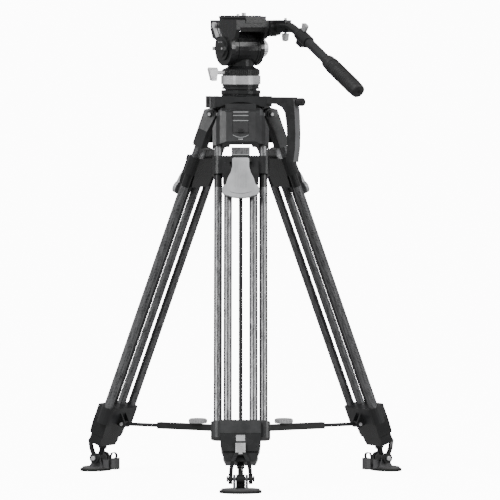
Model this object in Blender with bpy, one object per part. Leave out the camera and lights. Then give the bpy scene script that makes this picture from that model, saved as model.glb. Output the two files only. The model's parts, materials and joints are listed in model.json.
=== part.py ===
"""Two-stage video tripod with a 75 mm bowl and a fluid head.

Lengths are millimetres until a mesh is finished; finished meshes are in metres.
The frame's origin is on the floor, under the middle of the tripod's outline.  +Z is up
and the front leg points to -Y.
"""
import math

import bmesh
import bpy
from mathutils import Matrix, Vector

MM = 0.001
GAP = 0.35                       # clearance kept between neighbouring pieces

# Driving dimensions of the stand
AXIS_Y = 77.11                   # crown axis, from the middle of the outline
LEG_ANGLE = math.radians(21.8)   # tubes from the vertical, spread
HIP_RADIUS = 43.6
HIP_HEIGHT = 701.0
LEG_AZIMUTHS = {"front": -90.0, "right": 30.0, "left": 150.0}
TUBE_RADIUS = 8.0
TUBE_BORE = 6.4
THIN_TUBE_RADIUS = 6.0
OUTER_SPREAD = 43.0              # outer tubes, either side of the leg's middle
INNER_SPREAD = 24.2
INNER_OUTWARD = 12.0             # inner tubes stand in front of the outer ones
BRACKET_TOP, BRACKET_BOTTOM = 88.0, 124.0
BLOCK_BOTTOM = 150.0
MID_TOP, MID_BOTTOM = 617.0, 650.0
TUBE_END = 645.0
STAGE_TOP, STAGE_BOTTOM = 646.4, 682.0
FOOT_BLOCK_TOP, FOOT_BLOCK_BOTTOM = 682.4, 701.0
LEVER_HINGE = (26.2, -101.5)     # outward, up the leg
ANKLE = (4.9, -729.4)            # outward, up the leg
SPREADER_PIN = (-23.0, -645.0)   # outward, up the leg

# Driving dimensions of the bowl and the head
BALL_HEIGHT = 739.0
BALL_RADIUS = 37.5
HEAD_YAW = 30.0
TILT_HEIGHT = 827.3
CHEEK_RADIUS = 33.3
PLATFORM_TOP = 881.5
PAD_TOP = 890.2
BAR_SIDE = 55.0                  # plane of the pan bar, from the head's middle
ROSETTE = (39.0, 866.0)          # along the head, height
BAR_BEND = [(60, 871), (81, 871), (97, 868.5), (112, 863), (126, 856.5), (146, 847)]
BAR_PITCH = math.radians(26.2)

COLOURS = {
    "black_plastic": ((0.030, 0.031, 0.033), 0.45, 0.0),
    "dark_casting": ((0.055, 0.057, 0.060), 0.50, 0.2),
    "carbon_tube": ((0.16, 0.16, 0.165), 0.35, 0.1),
    "silver": ((0.62, 0.62, 0.63), 0.35, 0.8),
    "grey_plastic": ((0.45, 0.46, 0.47), 0.50, 0.0),
    "foot_metal": ((0.20, 0.20, 0.205), 0.50, 0.5),
    "rubber": ((0.02, 0.02, 0.02), 0.80, 0.0),
    "glass": ((0.55, 0.75, 0.30), 0.10, 0.0),
}


# ---------------------------------------------------------------- solids

def temp(bm):
    """Turn a bmesh into a working object with its faces pointing out."""
    bmesh.ops.recalc_face_normals(bm, faces=bm.faces)
    mesh = bpy.data.meshes.new("working")
    bm.to_mesh(mesh)
    bm.free()
    obj = bpy.data.objects.new("working", mesh)
    bpy.context.scene.collection.objects.link(obj)
    return obj


def boolean(body, tools, operation):
    for tool in tools:
        modifier = body.modifiers.new("working", "BOOLEAN")
        modifier.operation = operation
        modifier.solver = "EXACT"
        modifier.object = tool
        graph = bpy.context.evaluated_depsgraph_get()
        mesh = bpy.data.meshes.new_from_object(body.evaluated_get(graph))
        body.modifiers.clear()
        body.data = mesh
        bpy.data.objects.remove(tool, do_unlink=True)
    return body


def union(body, *tools):
    return boolean(body, tools, "UNION")


def cut(body, *tools):
    return boolean(body, tools, "DIFFERENCE")


def common(body, *tools):
    return boolean(body, tools, "INTERSECT")


def axis_point(axis, along, u, v):
    """A point at `along` on the axis; u and v are the other two axes in x, y, z order."""
    return {"x": (along, u, v), "y": (u, along, v), "z": (u, v, along)}[axis]


def prism(outline, low, high, axis="z"):
    bm = bmesh.new()
    rings = [[bm.verts.new(axis_point(axis, at, u, v)) for u, v in outline] for at in (low, high)]
    for ring in rings:
        bm.faces.new(ring)
    count = len(outline)
    for i in range(count):
        j = (i + 1) % count
        bm.faces.new((rings[0][i], rings[0][j], rings[1][j], rings[1][i]))
    return temp(bm)


def box(x, y, z):
    return prism([(x[0], y[0]), (x[1], y[0]), (x[1], y[1]), (x[0], y[1])], z[0], z[1])


def arc(centre, radius, start, end, steps):
    """Points on an arc, from angle `start` to `end` in degrees."""
    angles = [math.radians(start + (end - start) * i / steps) for i in range(steps + 1)]
    return [(centre[0] + radius * math.cos(a), centre[1] + radius * math.sin(a)) for a in angles]


def mirrored(half):
    """Close an outline from its right half, listed top to bottom."""
    return half + [(-u, v) for u, v in reversed(half) if abs(u) > 1e-6]


def turned(profile, sides=20, axis="z", centre=(0.0, 0.0), hollow=False):
    """Turn (radius, height) points about an axis; a hollow profile is a closed loop."""
    bm = bmesh.new()
    rings = []
    for radius, height in profile:
        count = sides if radius > 1e-6 else 1
        ring = []
        for k in range(count):
            a = 2 * math.pi * (k + 0.5) / sides
            u, v = centre[0] + radius * math.cos(a), centre[1] + radius * math.sin(a)
            ring.append(bm.verts.new(axis_point(axis, height, u, v)))
        rings.append(ring)
    pairs = list(zip(rings, rings[1:]))
    if hollow:
        pairs.append((rings[-1], rings[0]))
    for first, second in pairs:
        for k in range(sides):
            n = (k + 1) % sides
            corners = [first[k % len(first)], first[n % len(first)],
                       second[n % len(second)], second[k % len(second)]]
            corners = list(dict.fromkeys(corners))
            if len(corners) > 2:
                bm.faces.new(corners)
    if not hollow:
        for ring in (rings[0], rings[-1]):
            if len(ring) > 2:
                bm.faces.new(ring)
    return temp(bm)


def rod(radius, low, high, axis="z", centre=(0.0, 0.0), sides=16):
    return turned([(radius, low), (radius, high)], sides, axis, centre)


def pipe(radius, bore, low, high, axis="z", centre=(0.0, 0.0), sides=16):
    profile = [(radius, low), (radius, high), (bore, high), (bore, low)]
    return turned(profile, sides, axis, centre, hollow=True)


def sweep(points, half_width, half_height, side=(1.0, 0.0, 0.0), sides=4):
    """Carry an oval or a four-cornered section along points; `side` is across the path."""
    bm = bmesh.new()
    path = [Vector(p) for p in points]
    across = Vector(side).normalized()
    rings = []
    for i, point in enumerate(path):
        tangent = path[min(i + 1, len(path) - 1)] - path[max(i - 1, 0)]
        up = tangent.normalized().cross(across).normalized()
        ring = []
        for k in range(sides):
            a = 2 * math.pi * (k + 0.5) / sides
            stretch = math.sqrt(2) if sides == 4 else 1.0
            ring.append(bm.verts.new(point + across * (half_width * stretch * math.cos(a))
                                     + up * (half_height * stretch * math.sin(a))))
        rings.append(ring)
    for first, second in zip(rings, rings[1:]):
        for k in range(sides):
            n = (k + 1) % sides
            bm.faces.new((first[k], first[n], second[n], second[k]))
    bm.faces.new(rings[0])
    bm.faces.new(rings[-1])
    return temp(bm)


# ---------------------------------------------------------------- nodes

def material(name):
    found = bpy.data.materials.get(name)
    if found:
        return found
    colour, roughness, metallic = COLOURS[name]
    made = bpy.data.materials.new(name)
    made.use_nodes = True
    shader = made.node_tree.nodes["Principled BSDF"]
    shader.inputs["Base Color"].default_value = (*colour, 1.0)
    shader.inputs["Roughness"].default_value = roughness
    shader.inputs["Metallic"].default_value = metallic
    made.diffuse_color = (*colour, 1.0)
    return made


def frame(name, location, rotation=None, parent=None):
    """An empty that carries a group of pieces, in metres."""
    empty = bpy.data.objects.new(name, None)
    bpy.context.scene.collection.objects.link(empty)
    matrix = (rotation or Matrix.Identity(3)).to_4x4()
    matrix.translation = Vector(location) * MM
    empty.parent = parent
    empty.matrix_basis = matrix
    return empty


def finish(body, origin=(0.0, 0.0, 0.0)):
    """Take the working object's mesh, in metres, about the given origin."""
    mesh = body.data
    mesh.transform(Matrix.Translation(-Vector(origin)))
    mesh.transform(Matrix.Scale(MM, 4))
    mesh.shade_smooth()
    mesh.set_sharp_from_angle(angle=math.radians(35))
    bpy.data.objects.remove(body, do_unlink=True)
    return mesh


def node(name, mesh, colour, parent, origin=(0.0, 0.0, 0.0)):
    if not mesh.materials:
        mesh.materials.append(material(colour))
    obj = bpy.data.objects.new(name, mesh)
    bpy.context.scene.collection.objects.link(obj)
    obj.parent = parent
    obj.location = Vector(origin) * MM
    return obj


def single(name, body, colour, parent, origin=(0.0, 0.0, 0.0)):
    return node(name, finish(body, origin), colour, parent, origin)


def leg_rotation(azimuth, lean=LEG_ANGLE):
    """Columns: across the leg, outward from its face, up the leg."""
    out = Vector((math.cos(math.radians(azimuth)), math.sin(math.radians(azimuth)), 0.0))
    up = Vector((0.0, 0.0, 1.0))
    face = out * math.cos(lean) + up * math.sin(lean)
    along = up * math.cos(lean) - out * math.sin(lean)
    across = face.cross(along)
    return Matrix((across, face, along)).transposed()


def leg_point(outward, up_leg):
    """Radius from the crown's axis and height of a point in the leg's middle plane."""
    radius = HIP_RADIUS - up_leg * math.sin(LEG_ANGLE) + outward * math.cos(LEG_ANGLE)
    height = HIP_HEIGHT + up_leg * math.cos(LEG_ANGLE) + outward * math.sin(LEG_ANGLE)
    return radius, height


# ---------------------------------------------------------------- leg pieces
# In the leg's frame: x across, y outward, z up the leg, from the hip pin.

BOTH = (-1, 1)
SOCKET = TUBE_RADIUS + GAP


def make_hip():
    front = mirrored([(30, 13), (38, 11), (41, 3), (54, -31), (54, -66)])
    side = [(-12, -66), (17, -66), (20, -62), (20, -2), (16, 4)] + arc((0, 0), 13, 35, 180, 7)
    plan = mirrored([(28, 20), (40, 17), (47, 10), (54, 8), (54, -12)])
    body = common(prism(side, -60, 60, "x"), prism(front, -40, 40, "y"), prism(plan, -80, 40))
    for sign in BOTH:
        body = cut(body, rod(SOCKET, -39.7, -80, centre=(sign * OUTER_SPREAD, 0)))
    body = cut(body, box((-30, 30), (-30, 12), (-100, 40)))
    body = cut(body, box((-16.6, 16.6), (18.2, 30), (-48, 20)))
    for sign in BOTH:
        boss = turned([(8.5, sign * 34), (8.5, sign * 43), (4.6, sign * 43.1), (4.6, sign * 45.5)],
                      14, "x")
        body = union(body, boss)
    return union(body, rod(4, -36, 36, "x", sides=12))


def stadium(radius, low, high):
    outline = arc((OUTER_SPREAD, 0), radius, 90, -90, 8) + arc((-OUTER_SPREAD, 0), radius, 270, 90, 8)
    return prism(outline, low, high)


def make_upper_frame():
    body = stadium(12, -BRACKET_BOTTOM, -BRACKET_TOP)
    wings = mirrored([(17.5, -97), (34, -97), (34, -137), (31, -BLOCK_BOTTOM)])
    body = union(body, prism(wings, -8, 21.5, "y"))
    body = union(body, box((-17.5, 17.5), (-6, 20), (-110, -74)))
    for sign in BOTH:
        ear = box(sorted((sign * 17.2, sign * 21)), (18, 30), (-107, -96))
        body = union(body, ear)
    for sign in BOTH:
        body = union(body, rod(TUBE_RADIUS, -40, -TUBE_END, centre=(sign * OUTER_SPREAD, 0)))
    pin = rod(1.9, -19, 19, "x", LEVER_HINGE, sides=8)
    return union(body, pin)


def make_mid_bracket():
    body = stadium(13, -MID_BOTTOM, -MID_TOP)
    body = union(body, box((-38, 38), (-8, 26), (-646, -620)))
    body = cut(body, box((-38.6, 38.6), (-6.5, 40), (-660, -646)))
    y, z = SPREADER_PIN
    lug = [(-5, -624), (-11, -624)] + arc((y, z), 7, 150, 300, 5) + [(-7, -650), (-7, -645.5), (-5, -645.5)]
    for sign in BOTH:
        low, high = sorted((sign * 7, sign * 11))
        body = union(body, prism(lug, low, high, "x"))
    for sign in BOTH:
        body = cut(body, rod(SOCKET, -600, -TUBE_END - 0.3, centre=(sign * OUTER_SPREAD, 0)))
        body = cut(body, rod(SOCKET, -600, -700, centre=(sign * INNER_SPREAD, INNER_OUTWARD)))
    body = cut(body, box((-4.3, 4.3), (9.5, 14.5), (-700, -600)))
    pin = turned([(4.6, -13.5), (4.6, -10.8), (2.5, -10.7), (2.5, 10.7), (4.6, 10.8), (4.6, 13.5)],
                 12, "x", SPREADER_PIN)
    return union(body, pin)


def make_release_lever():
    neck = [(0, -98.4), (13.5, -98.4), (16.2, -100.5), (16.2, -117), (19, -128), (25, -140)]
    foot = arc((24.0, -163), 11.8, 70, -60, 6) + [(16, -177.6), (0, -179.4)]
    body = prism(mirrored(neck + foot), 23, 29.5, "y")
    return cut(body, rod(2.3, -25, 25, "x", LEVER_HINGE, sides=8))


def make_control_rod():
    return box((-3.6, 3.6), (10.3, 13.7), (-658, -BLOCK_BOTTOM - 0.5))


def make_middle_stage():
    half = [(38, -STAGE_TOP), (38, -660), (36, -676), (33, -STAGE_BOTTOM)]
    body = prism(mirrored(half), -6, 26, "y")
    body = cut(body, box((-4.3, 4.3), (9.5, 14.5), (-664, -600)))
    for sign in BOTH:
        centre = (sign * INNER_SPREAD, INNER_OUTWARD)
        body = union(body, rod(TUBE_RADIUS, -BLOCK_BOTTOM - 1.3, -670, centre=centre))
        body = cut(body, rod(TUBE_BORE, -100, -720, centre=centre, sides=12))
    return body


def make_lower_stage():
    half = [(33, -FOOT_BLOCK_TOP), (33, -690), (28, -FOOT_BLOCK_BOTTOM)]
    body = prism(mirrored(half), -3, 23, "y")
    for sign in BOTH:
        tube = rod(THIN_TUBE_RADIUS, -260, -692, centre=(sign * INNER_SPREAD, INNER_OUTWARD), sides=12)
        body = union(body, tube)
    y, z = ANKLE
    column = turned([(4.6, -698), (7.5, -705), (7.5, -708), (5.2, -710), (5.2, z)], 12,
                    centre=(0, y + 1))
    body = union(body, column)
    body = union(body, rod(8.4, -8.2, 8.2, "x", ANKLE, 14))
    return cut(body, rod(3.4, -12, 12, "x", ANKLE, 10))


def make_foot_yoke():
    y, z = ANKLE
    body = box((-10, 10), (26.7, 31.2), (-691, -664))
    for sign in BOTH:
        low, high = sorted((sign * 15, sign * 22.5))
        body = union(body, rod(10, low, high, "x", ANKLE, 14))
        path = [(sign * 18.7, y + 1, z + 1), (sign * 17.5, 20, -714), (sign * 14.5, 29.4, -702),
                (sign * 6.4, 29.0, -686)]
        body = union(body, sweep(path, 3.6, 3.2))
    for sign in BOTH:
        body = cut(body, rod(3.4, sign * 10, sign * 30, "x", ANKLE, 10))
    return body


# ---------------------------------------------------------------- foot pad
# In the foot's frame: x across, y outward, z up, from the ankle pin.

ANKLE_RADIUS, ANKLE_HEIGHT = leg_point(*ANKLE)
PAD_OUTWARD = 8.0


def oval(a, b, steps=20):
    turn = 2 * math.pi / steps
    return [(a * math.cos(turn * i), PAD_OUTWARD + b * math.sin(turn * i)) for i in range(steps)]


def make_foot_pad():
    floor = -ANKLE_HEIGHT
    body = prism(oval(39, 27), floor, floor + 5.2)
    body = union(body, prism(oval(36, 24), floor + 4, floor + 8))
    lug = [(-14, floor + 6)] + arc((0, 0), 8, 200, -20, 8) + [(17, floor + 6)]
    for sign in BOTH:
        low, high = sorted((sign * 9.2, sign * 14.2))
        body = union(body, prism(lug, low, high, "x"))
    body = union(body, box((-8.2, 8.2), (-25, -12), (floor + 2, -3.5)))
    body = union(body, rod(2.8, -38, -20, "y", (0, floor + 10), 10))
    body = union(body, box((-8.8, 8.8), (-40.5, -32), (floor + 3.5, floor + 26)))
    pin = turned([(5.4, -25.6), (5.4, -22.9), (3, -22.8), (3, 22.8), (5.4, 22.9), (5.4, 25.6)],
                 12, "x")
    return union(body, pin)


# ---------------------------------------------------------------- spreader
# In the arm's frame: x across, y outward, z up, from the leg's spreader pin.

PIN_RADIUS, PIN_HEIGHT = leg_point(*SPREADER_PIN)
LUG_REACH = 40.0
CHANNEL = (-77.0, LUG_REACH - PIN_RADIUS - 6.0)


def make_spreader_rod():
    body = rod(6.5, -6.4, 6.4, "x", sides=12)
    body = union(body, rod(3.6, -130, -2, "y", sides=12))
    return cut(body, rod(2.9, -10, 10, "x", sides=10))


def make_spreader_channel():
    outer, inner = CHANNEL
    body = box((-6.6, 6.6), (inner, outer), (-6, 6.5))
    body = cut(body, box((-4.6, 4.6), (inner - 5, outer + 5), (-10, 4.3)))
    body = cut(body, prism([(inner - 1, 2.5), (inner - 1, -8), (inner + 15, -8)], -10, 10, "x"))
    knob = turned([(6, 5.5), (6, 8), (17, 8), (17.5, 9), (17.5, 15.5), (15.5, 17)], 20,
                  centre=(0, 96 - PIN_RADIUS))
    return union(body, knob)


def make_spreader_hub():
    body = turned([(11, -9), (15, -6), (15, 6), (10, 9)], 18)
    for azimuth in LEG_AZIMUTHS.values():
        spin = Matrix.Rotation(math.radians(azimuth), 4, "Z")
        lug = box((8, LUG_REACH + 3.5), (-2.5, 2.5), (-3.5, 3.5))
        lug.data.transform(spin)
        body = union(body, lug)
    return body


# ---------------------------------------------------------------- crown
# x to the right, y back, z up, from the floor on the crown's axis.

LOBES = (-30.0, 90.0, 210.0)
LOBE_END = 62.7
LOBE_HALF = 11.0
CROWN_TOP, CROWN_BOTTOM = 736.0, 716.0
BOWL_SHELL = 45.0
PORT_END = 71.5


def polar(azimuth, radius, side=0.0):
    a = math.radians(azimuth)
    return (radius * math.cos(a) - side * math.sin(a), radius * math.sin(a) + side * math.cos(a))


def make_crown():
    outline = []
    for azimuth in LOBES:
        outline += [polar(azimuth, LOBE_END, -LOBE_HALF), polar(azimuth, LOBE_END, LOBE_HALF)]
        outline += [polar(azimuth + 60, 43.0, -14), polar(azimuth + 60, 43.0, 14)]
    body = prism(outline, CROWN_BOTTOM, CROWN_TOP)
    rise = 9.0
    span = 40.0
    arch = (span ** 2 + rise ** 2) / (2 * rise)
    for azimuth in LEG_AZIMUTHS.values():
        tool = rod(arch, 36, 80, "x", (0, CROWN_BOTTOM + rise - arch), 60)
        tool.data.transform(Matrix.Rotation(math.radians(azimuth), 4, "Z"))
        body = cut(body, tool)
    body = union(body, rod(38.5, 700, CROWN_BOTTOM + 4, sides=24))
    for azimuth in LEG_AZIMUTHS.values():
        spin = Matrix.Rotation(math.radians(azimuth), 4, "Z")
        ear = [(HIP_RADIUS, HIP_HEIGHT - 11.4)] + arc((HIP_RADIUS, HIP_HEIGHT), 11.4, -75, 60, 8)
        ear += [(47, 722), (30, 722), (30, HIP_HEIGHT - 11.4)]
        web = prism([(u, v) for u, v in ear], -29.5, 29.5, "y")
        web.data.transform(spin)
        body = union(body, web)
    for azimuth in LEG_AZIMUTHS.values():
        spin = Matrix.Rotation(math.radians(azimuth), 4, "Z")
        hole = rod(4.4, -40, 40, "y", (HIP_RADIUS, HIP_HEIGHT), 12)
        hole.data.transform(spin)
        body = cut(body, hole)
    body = cut(body, ball(BALL_RADIUS + 0.9, 0, 90, 24))
    body = cut(body, turned([(0, 731), (38.6, 731), (46, 736.5), (46, 740), (0, 740)], 24))
    below = turned([(0, 660), (33.5, 660), (33.5, BALL_HEIGHT - math.sqrt(BOWL_SHELL ** 2 - 33.5 ** 2))]
                   + cap_points(BOWL_SHELL, 42, 0, 4), 24)
    body = cut(body, below)
    return cut(body, rod(18, 650, 720, sides=16))


def cap_points(radius, start, end, steps):
    """(radius, height) points on the underside of a sphere about the ball's centre."""
    angles = [math.radians(start + (end - start) * i / steps) for i in range(steps + 1)]
    return [(radius * math.sin(a) if a > 1e-9 else 0.0, BALL_HEIGHT - radius * math.cos(a))
            for a in angles]


def ball(radius, start, end, sides):
    points = cap_points(radius, start, end, 6)
    return turned(points + [(points[-1][0], BALL_HEIGHT + 20), (0, BALL_HEIGHT + 20)], sides)


def make_side_port():
    half = LOBE_HALF
    body = box((LOBE_END + 0.4, PORT_END), (-half, half), (714, 736.5))
    body = cut(body, rod(3.2, PORT_END - 5, PORT_END + 5, "x", (0, 726), 12))
    body.data.transform(Matrix.Rotation(math.radians(LOBES[2]), 4, "Z"))
    return body


def make_carry_handle():
    top = [(LOBE_END + 0.4, 734.5), (118, 734.5), (121.5, 730)]
    outer = [(124.6, 700), (126, 665), (125, 635), (121, 610)]
    inner = [(106, 610), (108.5, 640), (107.5, 680), (103.5, 705), (97, 715), (84, 721)]
    body = prism(top + outer + inner + [(LOBE_END + 0.4, 722)], -11, 11, "y")
    taper = [(LOBE_END, -11), (124, -11), (140, -11), (140, 11), (LOBE_END, 11)]
    body = common(body, prism(taper, 600, 760))
    body.data.transform(Matrix.Rotation(math.radians(LOBES[0]), 4, "Z"))
    return body


def make_handle_knob():
    body = turned([(5, 124.6), (7.5, 125.5), (7.5, 138), (6.5, 139.5)], 12, "x", (0, 725.5))
    body.data.transform(Matrix.Rotation(math.radians(LOBES[0]), 4, "Z"))
    return body


# ---------------------------------------------------------------- levelling parts

def make_half_ball():
    sphere = cap_points(BALL_RADIUS, 24, 89, 5)
    profile = [(5, 662), (5, sphere[0][1])] + sphere
    profile += [(37, BALL_HEIGHT), (38.2, 740.5), (38.2, 746), (36.5, 747.2), (31, 747.2), (31, 749)]
    return turned(profile, 24)


def make_clamp_dish():
    outer = cap_points(49.3, 0, 31, 4)
    inner = cap_points(45.4, 31, 0, 4)
    body = turned(outer + inner, 16)
    half = arc((7, 0), 5.6, 90, -90, 6) + arc((-7, 0), 5.6, 270, 90, 6)
    return cut(body, prism(half, 670, 720))


def make_tie_down_knob():
    profile = [(5.4, 689.2), (9, 688.8), (16, 684), (17, 680), (17, 668), (12, 665), (5.4, 665)]
    return turned(profile, 14, hollow=True)


# ---------------------------------------------------------------- head
# x along the tilt axis, -y to the operator's bar, z up, on the crown's axis.

def make_base_ring():
    profile = [(35.8, 749.4), (35.8, 752.8), (34.4, 753.2), (34.4, 754.6), (35.8, 755), (35.8, 758.3)]
    return turned(profile, 24)


def make_pan_drag_ring():
    count = 48
    outline = []
    for i in range(count):
        a = 2 * math.pi * i / count
        r = 38.1 + 0.7 * math.cos(8 * a)
        outline.append((r * math.cos(a), r * math.sin(a)))
    return prism(outline, 758.7, 775.0)


def make_tilt_housing():
    profile = [(35.8, 775.4), (35.8, 786.5), (34, 788), (28, 790.5), (25, 793.5), (25, 806)]
    body = turned(profile, 24)
    barrel = [(32.3, -29.6), (32.3, -22.8), (31.2, -22.2), (31.2, -21), (32.3, -20.4),
              (32.3, 19.4), (31.2, 20), (31.2, 21.2), (32.3, 21.8), (32.3, 26)]
    body = union(body, turned(barrel, 24, "x", (0, TILT_HEIGHT)))
    return cut(body, rod(8.4, -40, 40, "x", (0, TILT_HEIGHT), 12))


def make_pan_lock_knob():
    body = rod(3.6, -36.3, -54, "x", (0, 781), 10)
    wing = [(-52, 786.5), (-54, 791), (-70, 791.5), (-72, 788), (-66, 766.5), (-62, 765), (-55, 765.5)]
    return union(body, prism(wing, -4, 4, "y"))


def make_tilt_cradle():
    lower = arc((0, TILT_HEIGHT), CHEEK_RADIUS, 28, -208, 16)
    outline = [(43, 848), (50.5, 864), (50.5, PLATFORM_TOP), (-50.5, PLATFORM_TOP), (-50.5, 864),
               (-43, 848)]
    cheek = outline + list(reversed(lower))
    body = union(prism(cheek, -38.5, -30, "x"), box((-31, 27), (-50.5, 50.5), (868, PLATFORM_TOP)))
    body = union(body, prism(cheek, 26.4, 34.5, "x"))
    body = union(body, box((20, 34.5), (-38, 8), (878, 889)))
    body = cut(body, box((-19.4, 19.4), (-60, 60), (875.6, 900)))
    body = cut(body, prism([(-30, 848), (30, 848), (22, 866), (-22, 866)], 30, 40, "x"))
    body = cut(body, box((20.6, 33.4), (13.6, 26.4), (PLATFORM_TOP - 4.7, 900)))
    return union(body, rod(7.8, -32, 30, "x", (0, TILT_HEIGHT), 12))


def make_balance_dial():
    body = turned([(23, -38.9), (23, -42), (17, -42.5), (16, -45.5)], 24, "x", (0, TILT_HEIGHT))
    grip = prism([(-22, -3.5), (22, -3.5), (22, 3.5), (-22, 3.5)], -50.5, -44, "x")
    grip.data.transform(Matrix.Translation((0, 0, TILT_HEIGHT)))
    return union(body, grip)


def make_tilt_drag_knob():
    profile = [(10, 34.9), (10, 37), (16.8, 37.5), (16.8, 51), (14, 54)]
    return turned(profile, 24, "x", (0, TILT_HEIGHT))


def make_camera_plate():
    half = [(19, 889.5), (19, 885), (17.5, 883.5), (17.5, 880), (19, 878), (19, 876)]
    body = prism(mirrored(half), -52, 52, "y")
    for sign in BOTH:
        body = union(body, box((-16, 16), sorted((sign * 26, sign * 50)), (889, PAD_TOP)))
    for y in SCREWS:
        body = cut(body, rod(SCREWS[y] + 0.4, 870, 900, centre=(0, y), sides=12))
    return body


SCREWS = {-11.5: 4.6, 10.8: 3.1}


def make_camera_screw(y):
    radius = SCREWS[y]
    top = 896.0 if radius > 4 else 893.5
    return turned([(radius, 876.5), (radius, top - 1), (radius - 1, top)], 12, centre=(0, y))


def make_plate_lock_lever():
    body = rod(6, -38.9, -44, "x", (30, 872), 12)
    arm = prism([(27, 868), (33, 868), (20, 848), (13, 850)], -43.5, -39.5, "x")
    return union(body, arm)


def make_plate_catch():
    return box((21, 33), (14, 26), (PLATFORM_TOP - 1.1, PLATFORM_TOP + 5))


def make_bubble_level():
    return turned([(5.5, PLATFORM_TOP + 0.4), (5.5, 884), (4, 885)], 16, centre=(27, 36))


def make_bar_clamp():
    body = box((34.9, 45), (-53, -25), (851, 881))
    return union(body, rod(16, 36, 47, "x", (-ROSETTE[0], ROSETTE[1]), 24))


def make_bar_clamp_knob():
    body = rod(2.8, 842, 886, centre=(BAR_SIDE, -76), sides=10)
    wing = [(-84, 856.5), (-68, 856.5), (-70, 843), (-75, 841), (-81, 843)]
    return union(body, prism(wing, BAR_SIDE - 4, BAR_SIDE + 4, "x"))


BAR_JOINT = (150.0, 846.0)


def bar_axis(distance):
    """A point on the straight part of the pan bar, from its joint."""
    return (BAR_JOINT[0] + distance * math.cos(BAR_PITCH), BAR_JOINT[1] - distance * math.sin(BAR_PITCH))


def lay_on_bar(body):
    """Carry a piece made along +z from the floor's origin onto the bar's straight part."""
    along = Vector((0.0, -math.cos(BAR_PITCH), -math.sin(BAR_PITCH)))
    across = Vector((1.0, 0.0, 0.0))
    matrix = Matrix((across, along.cross(across), along)).transposed().to_4x4()
    matrix.translation = Vector((BAR_SIDE, -BAR_JOINT[0], BAR_JOINT[1]))
    body.data.transform(matrix)
    return body


def make_pan_bar_arm():
    y, z = -ROSETTE[0], ROSETTE[1]
    body = turned([(15.8, 47.4), (15.8, 54), (13.5, 56), (13.5, 62)], 24, "x", (y, z))
    block = box((BAR_SIDE - 7, BAR_SIDE + 7), (-86, -40), (858, 882))
    body = union(body, block)
    bend = [(BAR_SIDE, -b, h) for b, h in BAR_BEND] + [(BAR_SIDE, -bar_axis(4)[0], bar_axis(4)[1])]
    body = union(body, sweep(bend, 8.2, 8.2, sides=14))
    collar = turned([(10.5, -26), (12, -24), (12, 14), (11, 15)], 20)
    boss = box((-6, 6), (-19, -8), (-20, -2))
    inner = rod(6.2, 0, 120, sides=12)
    body = union(body, lay_on_bar(collar))
    body = union(body, lay_on_bar(boss))
    body = union(body, lay_on_bar(inner))
    body = cut(body, lay_on_bar(rod(2.9, -30, 30, "y", (0, -11), 10)))
    return cut(body, rod(3.2, 840, 900, centre=(BAR_SIDE, -76), sides=10))


def make_bar_joint_knob():
    body = rod(2.5, -21.5, 24, "y", (0, -11), 10)
    wing = [(13, -16), (24, -19), (26, -16), (26, -6), (24, -3), (13, -6)]
    return lay_on_bar(union(body, prism(wing, -3.5, 3.5, "x")))


def make_pan_bar_tube():
    return lay_on_bar(pipe(9.2, 6.6, 15.5, 150, sides=18))


def make_pan_bar_grip():
    profile = [(0, 151), (9.6, 151), (9.6, 92), (12.2, 92), (13.4, 96), (13.4, 104), (14.3, 106),
               (14.3, 205), (13.6, 207), (13.6, 209), (14.3, 211), (13.6, 217), (11, 220),
               (3, 220.5), (2.5, 217), (0, 217)]
    return lay_on_bar(turned(profile, 16))


# ---------------------------------------------------------------- assembly

def build_leg_meshes():
    """The three legs share their meshes; each has its origin on its joint."""
    hinge = (0.0, *LEVER_HINGE)
    ankle = (0.0, *ANKLE)
    return {
        "hip": (finish(make_hip()), "dark_casting", (0, 0, 0)),
        "upper_tubes": (finish(make_upper_frame()), "carbon_tube", (0, 0, 0)),
        "mid_bracket": (finish(make_mid_bracket()), "dark_casting", (0, 0, 0)),
        "release_lever": (finish(make_release_lever(), hinge), "grey_plastic", hinge),
        "control_rod": (finish(make_control_rod()), "black_plastic", (0, 0, 0)),
        "middle_stage": (finish(make_middle_stage()), "carbon_tube", (0, 0, 0)),
        "lower_stage": (finish(make_lower_stage()), "carbon_tube", (0, 0, 0)),
        "foot_yoke": (finish(make_foot_yoke(), ankle), "black_plastic", ankle),
    }


def build_legs(root):
    in_leg = build_leg_meshes()
    pad = finish(make_foot_pad())
    rod_mesh = finish(make_spreader_rod())
    channel = finish(make_spreader_channel())
    for side, azimuth in LEG_AZIMUTHS.items():
        hip = frame(f"{side}_hip_pin", (*polar(azimuth, HIP_RADIUS), HIP_HEIGHT),
                    leg_rotation(azimuth), root)
        for part, (mesh, colour, origin) in in_leg.items():
            node(f"{side}_{part}", mesh, colour, hip, origin)
        upright = leg_rotation(azimuth, 0.0)
        foot = frame(f"{side}_ankle_pin", (*polar(azimuth, ANKLE_RADIUS), ANKLE_HEIGHT), upright, root)
        node(f"{side}_foot_pad", pad, "foot_metal", foot)
        pin = frame(f"{side}_spreader_pin", (*polar(azimuth, PIN_RADIUS), PIN_HEIGHT), upright, root)
        node(f"{side}_spreader_rod", rod_mesh, "black_plastic", pin)
        node(f"{side}_spreader_channel", channel, "black_plastic", pin)
    hub = frame("spreader_centre", (0, 0, PIN_HEIGHT), None, root)
    single("spreader_hub", make_spreader_hub(), "black_plastic", hub)


def build_crown(root):
    single("crown", make_crown(), "dark_casting", root)
    single("side_port", make_side_port(), "black_plastic", root)
    single("carry_handle", make_carry_handle(), "black_plastic", root)
    single("handle_knob", make_handle_knob(), "black_plastic", root)
    level = (0, 0, BALL_HEIGHT)
    single("clamp_dish", make_clamp_dish(), "silver", root, level)
    single("half_ball", make_half_ball(), "black_plastic", root, level)
    single("tie_down_knob", make_tie_down_knob(), "black_plastic", root)


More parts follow.
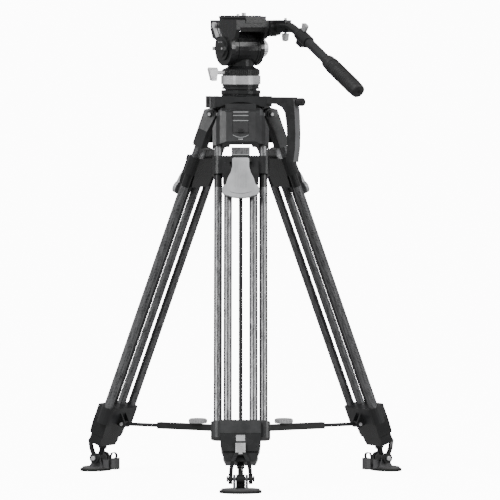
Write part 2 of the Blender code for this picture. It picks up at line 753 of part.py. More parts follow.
def build_head(root):
    head = frame("head_axis", (0, 0, 0), Matrix.Rotation(math.radians(HEAD_YAW), 3, "Z"), root)
    tilt = (0, 0, TILT_HEIGHT)
    rosette = (BAR_SIDE, -ROSETTE[0], ROSETTE[1])
    joint = (BAR_SIDE, -BAR_JOINT[0], BAR_JOINT[1])
    single("base_ring", make_base_ring(), "black_plastic", head)
    single("pan_drag_ring", make_pan_drag_ring(), "silver", head)
    single("tilt_housing", make_tilt_housing(), "black_plastic", head)
    single("pan_lock_knob", make_pan_lock_knob(), "silver", head, (-45, 0, 781))
    single("tilt_cradle", make_tilt_cradle(), "black_plastic", head, tilt)
    single("balance_dial", make_balance_dial(), "black_plastic", head, tilt)
    single("tilt_drag_knob", make_tilt_drag_knob(), "silver", head, tilt)
    single("camera_plate", make_camera_plate(), "black_plastic", head)
    for name, y in zip(("camera_screw_large", "camera_screw_small"), SCREWS):
        single(name, make_camera_screw(y), "silver", head, (0, y, 876.5))
    single("plate_lock_lever", make_plate_lock_lever(), "silver", head, (-41, 30, 872))
    single("plate_catch", make_plate_catch(), "black_plastic", head)
    single("bubble_level", make_bubble_level(), "glass", head)
    single("bar_clamp", make_bar_clamp(), "black_plastic", head)
    single("bar_clamp_knob", make_bar_clamp_knob(), "silver", head, (BAR_SIDE, -76, 850))
    single("pan_bar_arm", make_pan_bar_arm(), "black_plastic", head, rosette)
    single("bar_joint_knob", make_bar_joint_knob(), "silver", head, joint)
    single("pan_bar_tube", make_pan_bar_tube(), "black_plastic", head, joint)
    single("pan_bar_grip", make_pan_bar_grip(), "rubber", head, joint)


def main():
    for obj in list(bpy.data.objects):
        bpy.data.objects.remove(obj, do_unlink=True)
    root = frame("tripod_axis", (0, AXIS_Y, 0))
    build_crown(root)
    build_legs(root)
    build_head(root)


main()
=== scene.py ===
"""Looks of the tripod and its fluid head: finishes, small surface pieces, light and camera.

Sizes are in millimetres, in the frames the CAD uses:
  leg    x across, y outward from the leg's face, z up the leg, from the hip pin
  foot   x across, y outward, z up, from the ankle pin
  arm    the same from the spreader pin
  head   x along the tilt axis, -y to the operator's bar, z up from the floor, on the crown's axis
  bar    x across, z along the pan bar, from its joint
"""
import json
import math

import bmesh
import bpy
from mathutils import Matrix, Vector

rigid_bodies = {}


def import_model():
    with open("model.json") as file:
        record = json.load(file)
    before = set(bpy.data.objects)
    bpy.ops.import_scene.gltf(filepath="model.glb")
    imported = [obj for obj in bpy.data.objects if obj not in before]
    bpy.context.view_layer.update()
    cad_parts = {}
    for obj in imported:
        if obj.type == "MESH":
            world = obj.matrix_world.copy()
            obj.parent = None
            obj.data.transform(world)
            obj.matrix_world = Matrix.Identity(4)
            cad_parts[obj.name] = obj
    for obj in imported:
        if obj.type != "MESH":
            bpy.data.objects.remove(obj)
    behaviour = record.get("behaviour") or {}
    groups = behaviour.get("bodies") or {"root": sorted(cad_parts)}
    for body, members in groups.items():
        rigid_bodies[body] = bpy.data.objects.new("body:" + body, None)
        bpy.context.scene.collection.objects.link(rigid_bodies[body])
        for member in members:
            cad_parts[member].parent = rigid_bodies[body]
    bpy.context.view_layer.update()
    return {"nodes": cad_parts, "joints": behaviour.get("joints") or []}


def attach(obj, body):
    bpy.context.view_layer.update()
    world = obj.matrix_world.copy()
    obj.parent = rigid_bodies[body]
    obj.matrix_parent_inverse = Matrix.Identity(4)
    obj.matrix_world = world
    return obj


for old in list(bpy.data.objects):
    bpy.data.objects.remove(old, do_unlink=True)

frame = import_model()

MM = 0.001
SIDES = ("front", "right", "left")
BOTH = (-1, 1)
JOINTS = {joint["name"]: joint for joint in frame["joints"]}


# ---------------------------------------------------------------- frames, from the joints

def columns(x, y, z, origin):
    matrix = Matrix((x, y, z)).transposed().to_4x4()
    matrix.translation = origin
    return matrix


def joint_at(name):
    return Vector(JOINTS[name]["pos_m"])


def leg_frame(side):
    fold = "legs_fold" if side == "front" else f"{side}_leg_fold"
    up = -Vector(JOINTS[f"{side}_middle_extend"]["axis"]).normalized()
    across = -Vector(JOINTS[fold]["axis"]).normalized()
    return columns(across, up.cross(across), up, joint_at(fold))


def upright_frame(side, joint):
    across = -Vector(JOINTS[joint]["axis"]).normalized()
    up = Vector((0, 0, 1))
    return columns(across, up.cross(across), up, joint_at(joint))


PAN_AXIS = joint_at("pan")
TILT = JOINTS["tilt"]
HEAD = columns(Vector(TILT["axis"]), Vector((0, 0, 1)).cross(Vector(TILT["axis"])), Vector((0, 0, 1)),
               Vector((PAN_AXIS.x, PAN_AXIS.y, 0)))
BAR_ALONG = Vector(JOINTS["bar_extend"]["axis"]).normalized()
BAR_ACROSS = Vector(TILT["axis"]).normalized()
BAR_UP = BAR_ALONG.cross(BAR_ACROSS)
KNOB_BACK = -11.0
BAR = columns(BAR_ACROSS, BAR_UP, BAR_ALONG, joint_at("joint_knob_turn") - BAR_ALONG * KNOB_BACK * MM)
LOBE = Vector(JOINTS["handle_knob_turn"]["axis"]).normalized()
CARRY = columns(LOBE, Vector((0, 0, 1)).cross(LOBE), Vector((0, 0, 1)), Vector((PAN_AXIS.x, PAN_AXIS.y, 0)))
PIN_HEIGHT = joint_at("front_arm_fold").z
SOLE_THICKNESS = 5.2
BRACKET_TOP, TUBES_FROM, TUBES_TO = 87.8, 150.2, 645.8


# ---------------------------------------------------------------- finishes

class Finish:
    """A principled material whose nodes are added one at a time."""

    def __init__(self, name, roughness, metallic=0.0, coat=0.0, specular=0.4):
        self.mat = bpy.data.materials.new(name)
        self.mat.use_nodes = True
        self.tree = self.mat.node_tree
        self.bsdf = self.tree.nodes["Principled BSDF"]
        self.bsdf.inputs["Metallic"].default_value = metallic
        self.bsdf.inputs["Coat Weight"].default_value = coat
        self.bsdf.inputs["Coat Roughness"].default_value = 0.2
        self.bsdf.inputs["Specular IOR Level"].default_value = specular
        self.place = self.add("ShaderNodeTexCoord").outputs["Object"]
        self.base_roughness = roughness

    def add(self, kind, **settings):
        made = self.tree.nodes.new(kind)
        for key, value in settings.items():
            setattr(made, key, value)
        return made

    def link(self, source, target):
        self.tree.links.new(source, target)

    def math(self, operation, a, b=None):
        made = self.add("ShaderNodeMath", operation=operation)
        for socket, value in zip(made.inputs, (a, b)):
            if isinstance(value, (int, float)):
                socket.default_value = value
            elif value is not None:
                self.link(value, socket)
        return made.outputs[0]

    def noise(self, scale, detail=3.0, place=None):
        made = self.add("ShaderNodeTexNoise")
        made.inputs["Scale"].default_value = scale
        made.inputs["Detail"].default_value = detail
        self.link(place or self.place, made.inputs["Vector"])
        return made.outputs["Fac"]

    def span(self, value, low, high, to_low=0.0, to_high=1.0):
        made = self.add("ShaderNodeMapRange")
        for key, number in (("From Min", low), ("From Max", high), ("To Min", to_low), ("To Max", to_high)):
            made.inputs[key].default_value = number
        self.link(value, made.inputs["Value"])
        return made.outputs["Result"]

    def mix(self, factor, a, b):
        made = self.add("ShaderNodeMix", data_type="RGBA")
        self.link(factor, made.inputs[0])
        for socket, value in ((made.inputs[6], a), (made.inputs[7], b)):
            if isinstance(value, tuple):
                socket.default_value = (*value, 1.0)
            else:
                self.link(value, socket)
        return made.outputs[2]

    def in_frame(self, matrix):
        """A leg's or bar's own coordinates: one vector in metres, then x, y and z in millimetres."""
        made = self.add("ShaderNodeMapping")
        back = matrix.inverted()
        made.inputs["Rotation"].default_value = back.to_euler()
        made.inputs["Location"].default_value = back.translation
        self.link(self.place, made.inputs["Vector"])
        split = self.add("ShaderNodeSeparateXYZ")
        self.link(made.outputs[0], split.inputs[0])
        return made.outputs[0], [self.math("MULTIPLY", split.outputs[i], 1000.0) for i in range(3)]

    def edges(self, radius=0.0007):
        """1 along sharp edges, 0 on faces."""
        bevel = self.add("ShaderNodeBevel", samples=4)
        bevel.inputs["Radius"].default_value = radius
        geometry = self.add("ShaderNodeNewGeometry")
        dot = self.add("ShaderNodeVectorMath", operation="DOT_PRODUCT")
        self.link(bevel.outputs[0], dot.inputs[0])
        self.link(geometry.outputs["Normal"], dot.inputs[1])
        return self.span(dot.outputs["Value"], 0.99, 0.86)

    def bump(self, height, strength, distance=0.0002):
        made = self.add("ShaderNodeBump")
        made.inputs["Strength"].default_value = strength
        made.inputs["Distance"].default_value = distance
        self.link(height, made.inputs["Height"])
        self.link(made.outputs[0], self.bsdf.inputs["Normal"])

    def done(self, colour, uneven=0.06):
        self.link(colour, self.bsdf.inputs["Base Color"])
        low, high = self.base_roughness - uneven, self.base_roughness + uneven
        self.link(self.span(self.noise(70, 4), 0.35, 0.65, low, high), self.bsdf.inputs["Roughness"])
        return self.mat


def shade(colour, by):
    return tuple(channel * by for channel in colour)


def plain(name, colour, roughness, metallic=0.0, grain=1400.0, bump=0.25, wear_highlight_amount=0.35, coat=0.0,
          mottle=0.16):
    """One colour, slightly mottled, with fine grain, and lighter sharp edges that are partly rubbed wear and
    partly a painted edge highlight.
    """
    finish = Finish(name, roughness, metallic, coat)
    uneven = finish.span(finish.noise(28, 5), 0.35, 0.65)
    body = finish.mix(uneven, shade(colour, 1 - mottle), shade(colour, 1 + mottle))
    # sharp edges are painted lighter in patches: partly rubbed wear, partly a painted edge highlight
    rubbed_and_highlit = finish.math("MULTIPLY", finish.edges(), finish.span(finish.noise(160), 0.42, 0.62, 0, wear_highlight_amount))
    edge_colour_wear_highlight = tuple(min(1.0, channel * 1.5 + 0.05) for channel in colour)
    colour_out = finish.mix(rubbed_and_highlit, body, edge_colour_wear_highlight)
    finish.bump(finish.noise(grain, 2), bump)
    return finish.done(colour_out)


CASTING_GREY = (0.017, 0.0175, 0.0185)
BLACK_GREY = (0.014, 0.0143, 0.015)
PALE_GREY = (0.36, 0.365, 0.374)
SILVER_GREY = (0.66, 0.66, 0.67)

casting = plain("casting", CASTING_GREY, 0.42, grain=2200, bump=0.35)
black = plain("black_satin", BLACK_GREY, 0.28)
silver = plain("silver", SILVER_GREY, 0.30, metallic=0.65, grain=3000, bump=0.12, wear_highlight_amount=0.2)
pale = plain("pale_plastic", PALE_GREY, 0.42, grain=1800, bump=0.2, wear_highlight_amount=0.25)
stripe = plain("stripe_grey", (0.24, 0.245, 0.25), 0.4)
panel = plain("textured_panel", (0.014, 0.014, 0.015), 0.55, grain=700, bump=0.9)
strap_black = plain("strap_black", (0.010, 0.010, 0.0105), 0.5, grain=900, bump=0.5)
handle_grey = plain("handle_grey", (0.13, 0.131, 0.135), 0.45, grain=1800)
vial = plain("vial", (0.42, 0.60, 0.14), 0.08, grain=200, bump=0.02, wear_highlight_amount=0.0, coat=1.0)
# painted shade: a near-black colour for discs that stand for the shaded inside of holes
painted_hole_shade = plain("painted_hole_shade", (0.003, 0.003, 0.003), 0.7, wear_highlight_amount=0.0)


def make_rubber():
    finish = Finish("grip_rubber", 0.58)
    _, (_, _, along) = finish.in_frame(BAR)
    ribs = finish.math("SINE", finish.math("MULTIPLY", along, 2 * math.pi / 3.2))
    dust = finish.span(finish.noise(90, 5), 0.4, 0.7)
    finish.bump(finish.math("ADD", ribs, finish.noise(1500)), 0.5, 0.0003)
    return finish.done(finish.mix(dust, (0.010, 0.010, 0.0105), (0.022, 0.022, 0.023)))


def make_carbon(side):
    """Lacquered tubes with long wavy streaks of fibre; the blocks at their ends are black."""
    finish = Finish(f"{side}_carbon", 0.26)
    place, (_, _, along) = finish.in_frame(leg_frame(side))
    wave = finish.add("ShaderNodeTexWave", wave_type="BANDS", bands_direction="DIAGONAL")
    wave.inputs["Scale"].default_value = 95
    wave.inputs["Distortion"].default_value = 7
    wave.inputs["Detail"].default_value = 2
    finish.link(place, wave.inputs["Vector"])
    stretched = finish.add("ShaderNodeMapping")
    stretched.inputs["Scale"].default_value = (1, 1, 0.12)
    finish.link(place, stretched.inputs["Vector"])
    streak = finish.span(finish.noise(420, 3, stretched.outputs[0]), 0.35, 0.65)
    weave = finish.mix(wave.outputs["Fac"], (0.028, 0.028, 0.030), (0.115, 0.116, 0.119))
    tube = finish.mix(streak, weave, (0.19, 0.191, 0.195))
    past_bracket = finish.math("MAXIMUM", finish.math("LESS_THAN", along, -TUBES_FROM),
                               finish.math("GREATER_THAN", along, -BRACKET_TOP))
    is_tube = finish.math("MULTIPLY", past_bracket, finish.math("GREATER_THAN", along, -TUBES_TO))
    finish.link(finish.math("MULTIPLY", is_tube, 0.5), finish.bsdf.inputs["Metallic"])
    finish.bump(wave.outputs["Fac"], 0.12, 0.00008)
    return finish.done(finish.mix(is_tube, BLACK_GREY, tube), 0.05)


CORNER_ACROSS, CORNER_ALONG, CORNER_OUT = 36.5, -8.0, 4.0    # the hip's corners lie past these
# painted highlight: the hip's top corners are painted this lighter grey where the chamfers catch the light
CORNER_HIGHLIGHT_GREY = (0.045, 0.046, 0.048)
# lighter grey on sharp edges: partly rubbed wear, partly a painted edge highlight
RUBBED_AND_HIGHLIGHT_GREY = (0.08, 0.08, 0.083)


def make_hip_finish(side):
    """Dark casting with a painted highlight on the top corners, and lighter edges that are partly rubbed wear
    and partly a painted edge highlight.
    """
    finish = Finish(f"{side}_hip_casting", 0.42)
    _, (across, outward, along) = finish.in_frame(leg_frame(side))
    # the top corners past these limits get the painted highlight colour
    wide = finish.math("GREATER_THAN", finish.math("ABSOLUTE", across), CORNER_ACROSS)
    high = finish.math("GREATER_THAN", along, CORNER_ALONG)
    corner = finish.math("MULTIPLY", wide,
                         finish.math("MULTIPLY", high, finish.math("GREATER_THAN", outward, CORNER_OUT)))
    uneven = finish.span(finish.noise(28, 5), 0.35, 0.65)
    dark = finish.mix(uneven, shade(CASTING_GREY, 0.85), shade(CASTING_GREY, 1.15))
    # sharp edges painted lighter: partly rubbed wear, partly a painted edge highlight
    rubbed_and_highlit = finish.math("MULTIPLY", finish.edges(), 0.3)
    dark = finish.mix(rubbed_and_highlit, dark, RUBBED_AND_HIGHLIGHT_GREY)
    finish.bump(finish.noise(2200), 0.35)
    return finish.done(finish.mix(corner, dark, CORNER_HIGHLIGHT_GREY))


def make_below(name, height, low, high, low_rough, sharp=0.0002):
    """One colour below a height in the rest pose and another above it."""
    finish = Finish(name, low_rough)
    split = finish.add("ShaderNodeSeparateXYZ")
    finish.link(finish.place, split.inputs[0])
    above = finish.span(split.outputs[2], height - sharp, height + sharp)
    uneven = finish.span(finish.noise(40, 5), 0.35, 0.65)
    lower = finish.mix(uneven, shade(low, 0.8), shade(low, 1.2))
    upper = finish.mix(uneven, shade(high, 0.9), shade(high, 1.1))
    # sharp edges painted lighter grey: partly rubbed wear, partly a painted edge highlight
    wear_highlight_amount = finish.math("MULTIPLY", finish.edges(), 0.25)
    finish.bump(finish.noise(1600), 0.3)
    return finish.done(finish.mix(wear_highlight_amount, finish.mix(above, lower, upper), (0.22, 0.22, 0.22)))


rubber = make_rubber()
foot_finish = make_below("foot_alloy_and_sole", SOLE_THICKNESS * MM, (0.012, 0.012, 0.012),
                         (0.070, 0.070, 0.072), 0.45)
arm_finish = make_below("arm_black_and_knob", PIN_HEIGHT + 6.8 * MM, BLACK_GREY, (0.26, 0.26, 0.265), 0.38)


# ---------------------------------------------------------------- making and placing pieces

def add_object(name, data):
    obj = bpy.data.objects.new(name, data)
    bpy.context.scene.collection.objects.link(obj)
    return obj


def piece(name, mesh_maker, finish, matrix, body, smooth=False, bevel=0.0):
    bm = bmesh.new()
    mesh_maker(bm)
    bmesh.ops.recalc_face_normals(bm, faces=bm.faces)
    mesh = bpy.data.meshes.new(name)
    bm.to_mesh(mesh)
    bm.free()
    mesh.transform(matrix @ Matrix.Scale(MM, 4))
    if smooth:
        mesh.shade_smooth()
        mesh.set_sharp_from_angle(angle=math.radians(40))
    mesh.materials.append(finish)
    obj = add_object(name, mesh)
    if bevel:
        soften(obj, bevel)
    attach(obj, body)
    return obj


def soften(obj, width):
    bevel = obj.modifiers.new("soft_edges", "BEVEL")
    bevel.width = width * MM
    bevel.segments = 2
    bevel.limit_method = "ANGLE"
    bevel.angle_limit = math.radians(38)
    bevel.use_clamp_overlap = True


def extrude(bm, outline, to_point, low, high):
    """A prism: outline points and a level go through to_point to become 3-D points."""
    rings = [[bm.verts.new(to_point(u, v, level)) for u, v in outline] for level in (low, high)]
    for ring in rings:
        bm.faces.new(ring)
    count = len(outline)
    for i in range(count):
        j = (i + 1) % count
        bm.faces.new((rings[0][i], rings[0][j], rings[1][j], rings[1][i]))


def block(x, y, z):
    outline = [(x[0], y[0]), (x[1], y[0]), (x[1], y[1]), (x[0], y[1])]
    return lambda bm: extrude(bm, outline, lambda u, v, level: (u, v, level), z[0], z[1])


def blocks(items):
    def make(bm):
        for item in items:
            block(*item)(bm)
    return make


def round_outline(radius, sides):
    turn = 2 * math.pi / sides
    return [(radius * math.cos(turn * i), radius * math.sin(turn * i)) for i in range(sides)]


def disc(radius, low, high, axis="x", centre=(0.0, 0.0), sides=20):
    places = {"x": lambda u, v, level: (level, centre[0] + u, centre[1] + v),
              "y": lambda u, v, level: (centre[0] + u, level, centre[1] + v),
              "z": lambda u, v, level: (centre[0] + u, centre[1] + v, level)}
    return lambda bm: extrude(bm, round_outline(radius, sides), places[axis], low, high)


def together(makers):
    def make(bm):
        for maker in makers:
            maker(bm)
    return make


def hoop(inner, outer, low, high, sides=32):
    """A ring about z."""
    def make(bm):
        corners = [(inner, low), (outer, low), (outer, high), (inner, high)]
        rows = []
        for i in range(sides):
            a = 2 * math.pi * i / sides
            rows.append([bm.verts.new((r * math.cos(a), r * math.sin(a), z)) for r, z in corners])
        for i in range(sides):
            here, there = rows[i], rows[(i + 1) % sides]
            for k in range(4):
                m = (k + 1) % 4
                bm.faces.new((here[k], here[m], there[m], there[k]))
    return make


def ribbon(path, half_width, half_thick):
    """A flat band through points of the plane x = 0, as wide as 2 * half_width across x."""
    def make(bm):
        rows = []
        for i, (y, z) in enumerate(path):
            before, after = path[max(i - 1, 0)], path[min(i + 1, len(path) - 1)]
            along = Vector((after[0] - before[0], after[1] - before[1])).normalized()
            ny, nz = -along.y * half_thick, along.x * half_thick
            corners = ((-half_width, y - ny, z - nz), (half_width, y - ny, z - nz),
                       (half_width, y + ny, z + nz), (-half_width, y + ny, z + nz))
            rows.append([bm.verts.new(corner) for corner in corners])
        for here, there in zip(rows, rows[1:]):
            for k in range(4):
                m = (k + 1) % 4
                bm.faces.new((here[k], here[m], there[m], there[k]))
        bm.faces.new(rows[0])
        bm.faces.new(list(reversed(rows[-1])))
    return make


def slab(outline, low, high):
    """A prism whose outline lies in x and z, from low to high along y."""
    return lambda bm: extrude(bm, outline, lambda u, v, level: (u, level, v), low, high)


def teeth(count, radii, centre, half, span, axis="z"):
    """Square teeth round an ellipse, each 2 * half wide and as long as span along the axis, z or x."""
    items = []
    for i in range(count):
        a = 2 * math.pi * i / count
        u, v = centre[0] + radii[0] * math.cos(a), centre[1] + radii[1] * math.sin(a)
        sides = ((u - half, u + half), (v - half, v + half))
        items.append((*sides, span) if axis == "z" else (span, *sides))
    return blocks(items)


def face_line(path, y_low, y_high, half_width):
    """A raised line drawn on a face that looks along y."""
    def make(bm):
        for (xa, za), (xb, zb) in zip(path, path[1:]):
            along = Vector((xb - xa, zb - za)).normalized()
            nx, nz = -along.y * half_width, along.x * half_width
            outline = [(xa - nx, za - nz), (xb - nx, zb - nz), (xb + nx, zb + nz), (xa + nx, za + nz)]
            slab(outline, y_low, y_high)(bm)
    return make


# ---------------------------------------------------------------- CAD nodes: finish and soft edges

NODE_FINISH = {
    "crown": casting, "half_ball": black, "base_ring": black, "tilt_housing": black,
    "pan_drag_ring": silver, "pan_lock_knob": silver, "tilt_drag_knob": silver,
    "plate_lock_lever": silver, "bar_clamp_knob": silver, "bar_joint_knob": silver,
    "clamp_dish": silver, "camera_screw_large": silver, "camera_screw_small": silver,
    "pan_bar_grip": rubber, "bubble_level": vial, "pan_bar_tube": casting,
}
LEG_FINISH = {"mid_bracket": casting, "release_lever": pale, "control_rod": black, "foot_yoke": black,
              "foot_pad": foot_finish, "spreader_rod": black, "spreader_channel": arm_finish}
EDGE_WIDTH = 0.5
UNBEVELLED = {"pan_bar_grip", "half_ball", "clamp_dish", "pan_drag_ring", "bubble_level"}


def dress_nodes():
    for side in SIDES:
        carbon = make_carbon(side)
        for part in ("upper_tubes", "middle_stage", "lower_stage"):
            NODE_FINISH[f"{side}_{part}"] = carbon
        NODE_FINISH[f"{side}_hip"] = make_hip_finish(side)
        for part, finish in LEG_FINISH.items():
            NODE_FINISH[f"{side}_{part}"] = finish
    for name, obj in frame["nodes"].items():
        for material_slot in obj.material_slots:
            material_slot.material = NODE_FINISH.get(name, black)
        if name not in UNBEVELLED:
            soften(obj, EDGE_WIDTH)


# ---------------------------------------------------------------- leg details

HIP_FACE, RECESS_FACE = 20.0, 18.2
LEVER_FACE = 29.5
STAGE_FACE = 26.0
YOKE_FACE = 31.2


def dress_leg(side):
    leg = leg_frame(side)
    on_leg, on_lever = f"{side}_leg", f"{side}_lever"
    bars = [((-14.5, 14.5), (RECESS_FACE, RECESS_FACE + 0.9), (-t - 1, -t + 1)) for t in (1.9, 9.0, 19.4)]
    piece(f"{side}_hip_stripes", blocks(bars), stripe, leg, on_leg, bevel=0.2)
    piece(f"{side}_hip_panel", block((-14.2, 14.2), (RECESS_FACE, RECESS_FACE + 1.0), (-44, -24)), panel, leg,
          on_leg, bevel=0.3)
    arch = [(-6, -44), (6, -44), (6, -39)] + [(6 * math.cos(a), -39 + 3.2 * math.sin(a))
                                            for a in (math.pi * k / 6 for k in range(1, 6))] + [(-6, -39)]
    piece(f"{side}_hip_button", slab(arch, RECESS_FACE + 1.0, HIP_FACE + 0.4), black, leg,
          on_leg, bevel=0.4)
    smile = [(-15 + 3 * i, -54 + 5.0 * ((-15 + 3 * i) / 15) ** 2) for i in range(11)]
    piece(f"{side}_hip_smile", face_line(smile, HIP_FACE - 0.1, HIP_FACE + 0.5, 0.6), stripe, leg, on_leg)
    piece(f"{side}_hip_mark_bar", block((-4.5, 4.5), (HIP_FACE - 0.1, HIP_FACE + 0.6), (-58.5, -57.2)),
          silver, leg, on_leg, bevel=0.2)
    caps = [disc(3.6, sign * 45.4, sign * 46.3, sides=6) for sign in BOTH]
    piece(f"{side}_hip_bolts", together(caps), silver, leg, on_leg, bevel=0.2)
    piece(f"{side}_bracket_line", block((-16.5, 16.5), (19.9, 20.5), (-90, -88)), stripe, leg, on_leg,
          bevel=0.2)
    screws = [disc(4.2, -9.3, -7.9, "y", (sign * 26, -112), 8) for sign in BOTH]
    piece(f"{side}_bracket_screws", together(screws), silver, leg, on_leg, bevel=0.3)
    pin = (-23.0, -645.0)
    heads = [disc(3.6, sign * 13.4, sign * 14.1, centre=pin) for sign in BOTH]
    piece(f"{side}_spreader_pin_heads", together(heads), silver, leg, on_leg, bevel=0.2)
    ribs = [((x - 0.6, x + 0.6), (LEVER_FACE - 0.1, LEVER_FACE + 0.6), (-158, -104))
            for x in (-10, -5, 0, 5, 10)]
    piece(f"{side}_lever_ribs", blocks(ribs), pale, leg, on_lever, bevel=0.25)
    ledge = [(-20 + 4 * i, -170 + 4.0 * ((-20 + 4 * i) / 20) ** 2) for i in range(11)]
    piece(f"{side}_lever_ledge", face_line(ledge, LEVER_FACE - 0.1, LEVER_FACE + 1.0, 1.0), pale, leg,
          on_lever)
    piece(f"{side}_stage_tab", block((-8, 8), (STAGE_FACE - 0.1, STAGE_FACE + 0.5), (-662, -650)), silver,
          leg, f"{side}_middle", bevel=0.2)
    piece(f"{side}_yoke_tab", block((-9, 9), (YOKE_FACE - 0.1, YOKE_FACE + 0.6), (-689, -667)), silver, leg,
          f"{side}_yoke", bevel=0.2)


def dress_foot(side):
    foot = upright_frame(side, f"{side}_foot_tilt")
    on_foot = f"{side}_foot"
    heads = [disc(4.4, sign * 25.5, sign * 26.4) for sign in BOTH]
    piece(f"{side}_ankle_heads", together(heads), silver, foot, on_foot, bevel=0.3)
    heel = [(-36, -1.0), (-38.5, 4), (-37, 9), (-33, 11), (-28, 10), (-25, 5), (-24, -3)]
    piece(f"{side}_heel_strap", ribbon(heel, 3.4, 0.9), strap_black, foot, on_foot,
          smooth=True, bevel=0.3)
    sole = joint_at(f"{side}_foot_tilt").z / MM
    grooves = teeth(28, (39.0, 27.0), (0.0, 8), 0.7, (-sole + 0.5, -sole + 4.6))
    piece(f"{side}_sole_ribs", grooves, strap_black, foot, on_foot)


KNOB_RADIUS = 96    # the spreader knobs' distance from the middle


def dress_arm(side):
    arm = upright_frame(side, f"{side}_arm_fold")
    pin_radius = (joint_at(f"{side}_arm_fold") - PAN_AXIS).xy.length / MM
    knurl = teeth(36, (17.4, 17.4), (0.0, KNOB_RADIUS - pin_radius), 0.55, (9.2, 15.3))
    piece(f"{side}_spreader_knurl", knurl, silver, arm, f"{side}_arm_channel")


# ---------------------------------------------------------------- crown and head details

PORT_TURN = math.radians(210)    # the accessory port's lobe, about z


def dress_crown():
    face = [(121.9, 730), (124.9, 700), (126.3, 665), (125.3, 635), (121.4, 611)]
    outline = face + [(r - 1.2, z) for r, z in reversed(face)]
    piece("carry_handle_face", slab(outline, -9.4, 9.4), handle_grey, CARRY, "crown_body",
          bevel=0.3)
    ribs = []
    for z in (722, 717, 712, 707):
        r = 121.9 + (730 - z) * 0.1
        ribs.append(((r - 0.4, r + 0.5), (-8, 8), (z - 0.8, z + 0.8)))
    piece("carry_handle_ribs", blocks(ribs), handle_grey, CARRY, "crown_body", bevel=0.2)
    knob = teeth(16, (7.4, 7.4), (0.0, 725.5), 0.5, (126.5, 137.5), "x")
    piece("handle_knob_ribs", knob, black, CARRY, "handle_knob_body")
    outward = Vector((math.cos(PORT_TURN), math.sin(PORT_TURN), 0))
    across = Vector((-math.sin(PORT_TURN), math.cos(PORT_TURN), 0))
    port = columns(outward, across, Vector((0, 0, 1)), Vector((PAN_AXIS.x, PAN_AXIS.y, 0)))
    piece("side_port_seam", block((71.4, 71.9), (6.2, 7.2), (715, 735.5)), pale, port, "crown_body",
          bevel=0.15)
    # painted shade: a dark disc where the port's hole is, standing for the shade inside it
    piece("side_port_hole_shade", disc(4.4, 71.4, 71.8, centre=(0.0, 726)), painted_hole_shade, port, "crown_body")


def dress_head():
    facets = teeth(60, (36.1, 36.1), (0.0, 0.0), 0.5, (777, 785.6))
    piece("housing_facets", facets, casting, HEAD, "pan_body")
    tilt = joint_at("tilt").z / MM
    piece("dial_screws", together([disc(2.4, -51.2, -50.3, centre=(y, tilt), sides=10) for y in (-15, 15)]),
          silver, HEAD, "dial", bevel=0.2)
    piece("dial_face_marks", together([disc(1.2, -45.8, -45.3, centre=(y, tilt + 12), sides=8)
                                       for y in (-6, 0, 6)]), pale, HEAD, "dial")
    flutes = teeth(24, (16.6, 16.6), (0.0, tilt), 0.7, (38.5, 50.5), "x")
    piece("tilt_knob_flutes", flutes, silver, HEAD, "tilt_knob")
    pads = [((-15.6, 15.6), (y - 11.6, y + 11.6), (889.9, 890.5)) for y in (-38, 38)]
    piece("plate_pads", blocks(pads), strap_black, HEAD, "plate", bevel=0.2)


def dress_bar():
    rings = [hoop(13.9, 14.8, z, z + 2.2) for z in range(112, 200, 6)]
    piece("grip_ribs", together(rings), rubber, BAR, "bar_extension", bevel=0.3)
    # painted shade: a dark disc at the grip's end, standing for the shade inside its hole
    piece("grip_end_hole_shade", disc(2.5, 220.2, 220.7, "z", sides=16), painted_hole_shade, BAR, "bar_extension")
    piece("bar_collar_band", hoop(11.8, 12.4, -20, -17), casting, BAR, "bar")


dress_nodes()
for leg_side in SIDES:
    dress_leg(leg_side)
    dress_foot(leg_side)
    dress_arm(leg_side)
dress_crown()
dress_head()
dress_bar()


# ---------------------------------------------------------------- floor, light, camera

BACKDROP_GLOW = 11.0    # the paper glows for the camera, and diffuse and glossy rays do not see it
FAR = 1500.0            # metres, half the side of the floor
SKY = 0.42
AIM_HEIGHT = 0.45       # metres, where the soft boxes look
LENS = 393.1            # millimetres
EYE_SIDEWAYS, EYE_DISTANCE, EYE_HEIGHT = 0.0177, 10.5, 0.929
LOOK_DOWN = 2.67        # degrees


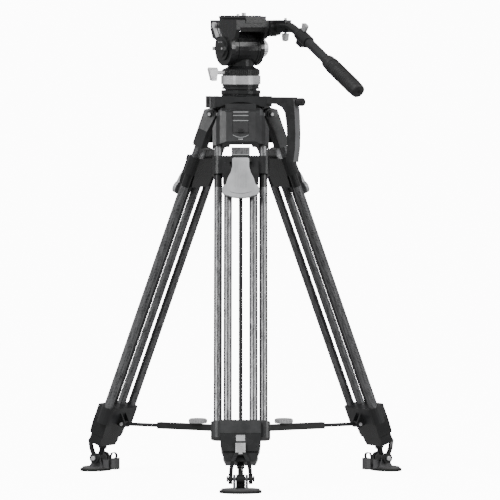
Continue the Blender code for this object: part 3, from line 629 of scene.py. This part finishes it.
def studio():
    floor = bpy.data.meshes.new("floor")
    floor.from_pydata([(-FAR, -FAR, 0), (FAR, -FAR, 0), (FAR, FAR, 0), (-FAR, FAR, 0)], [], [(0, 1, 2, 3)])
    paper = bpy.data.materials.new("paper")
    paper.use_nodes = True
    shader = paper.node_tree.nodes["Principled BSDF"]
    shader.inputs["Base Color"].default_value = (0.90, 0.90, 0.90, 1)
    shader.inputs["Roughness"].default_value = 0.9
    shader.inputs["Emission Color"].default_value = (1, 1, 1, 1)
    shader.inputs["Emission Strength"].default_value = BACKDROP_GLOW
    floor.materials.append(paper)
    obj = add_object("floor", floor)
    obj.visible_diffuse = False
    obj.visible_glossy = False

    world = bpy.data.worlds.new("studio")
    world.use_nodes = True
    world.node_tree.nodes["Background"].inputs["Color"].default_value = (1, 1, 1, 1)
    world.node_tree.nodes["Background"].inputs["Strength"].default_value = SKY
    bpy.context.scene.world = world

    def sun(name, strength, degrees, softness):
        light = bpy.data.lights.new(name, "SUN")
        light.energy = strength
        light.angle = math.radians(softness)
        add_object(name, light).rotation_euler = [math.radians(v) for v in degrees]

    sun("key", 2.6, (38, 0, -42), 22)
    sun("fill", 1.3, (66, 0, 58), 30)

    def softbox(name, place, size, power):
        light = bpy.data.lights.new(name, "AREA")
        light.energy = power
        light.size = size
        lamp = add_object(name, light)
        lamp.location = place
        aim = Vector((0, 0, AIM_HEIGHT)) - Vector(place)
        lamp.rotation_euler = aim.to_track_quat("-Z", "Y").to_euler()

    softbox("left_box", (-2.2, -2.0, 1.8), 1.0, 40)
    softbox("right_box", (2.4, -1.4, 1.4), 0.8, 25)


def camera():
    """A long lens far off, level with the head and looking slightly down."""
    lens = bpy.data.cameras.new("camera")
    lens.lens = LENS
    lens.sensor_width = 36.0
    lens.clip_end = 4000.0
    eye = add_object("camera", lens)
    eye.location = (EYE_SIDEWAYS, PAN_AXIS.y - EYE_DISTANCE, EYE_HEIGHT)
    eye.rotation_euler = (math.radians(90 - LOOK_DOWN), 0, 0)
    bpy.context.scene.camera = eye


studio()
camera()
